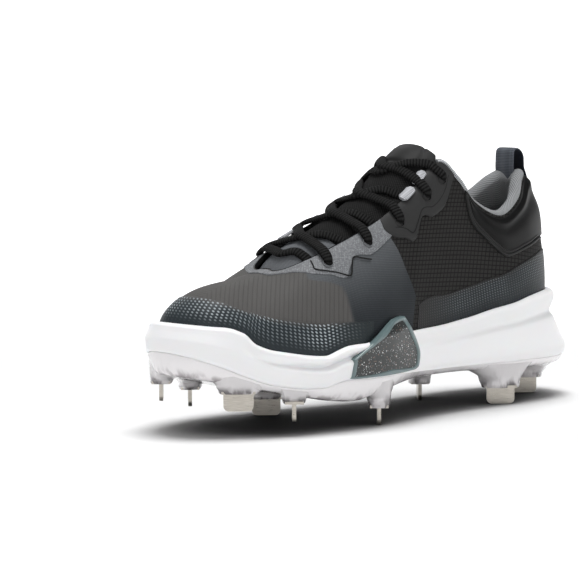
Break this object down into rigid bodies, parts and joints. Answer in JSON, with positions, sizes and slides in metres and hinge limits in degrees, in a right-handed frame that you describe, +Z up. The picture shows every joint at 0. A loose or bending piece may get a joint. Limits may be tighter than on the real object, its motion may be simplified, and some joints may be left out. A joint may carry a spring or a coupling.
{
  "type": "baseball cleat",
  "caption": "Low-top black baseball cleat with a white midsole, a clear sole plate and champagne metal blade spikes, laced to the top eyelets.",
  "frame": {"origin": "centre of the footprint's box on the ground, under the spikes", "axes": "+X to the toe, +Y to the outer (lateral) side, +Z up from the ground"},
  "size_m": [0.2966, 0.0984, 0.149],
  "materials": {
    "mesh_upper": "woven ripstop, matt",
    "white_foam": "satin",
    "clear_plate": "translucent",
    "speckled_insert": "speckled, satin",
    "grey_fabric": "matt knit",
    "tongue_fabric": "padded, matt",
    "printed_film": "printed film over mesh",
    "smooth_black": "smooth, semi-matt",
    "stay_film": "smooth film",
    "lace_cord": "ribbed weave",
    "webbing": "woven webbing",
    "spike_steel": "champagne, satin"
  },
  "bodies": {
    "root": {"upper": "mesh_upper", "midsole": "white_foam", "outsole_plate": "clear_plate", "side_insert": "speckled_insert", "insole": "grey_fabric", "tongue": "tongue_fabric", "toe_guard": "printed_film", "heel_counter": "printed_film", "heel_panel": "smooth_black", "heel_piping": "smooth_black", "eyestay": "stay_film", "laces": "lace_cord", "pull_loop": "webbing", "spike_toe_inner": "spike_steel", "spike_toe_outer": "spike_steel", "spike_front_inner": "spike_steel", "spike_front_outer": "spike_steel", "spike_ball_inner": "spike_steel", "spike_ball_outer": "spike_steel", "spike_heel_inner": "spike_steel", "spike_heel_outer": "spike_steel", "spike_heel_back": "spike_steel"}
  },
  "joints": []
}
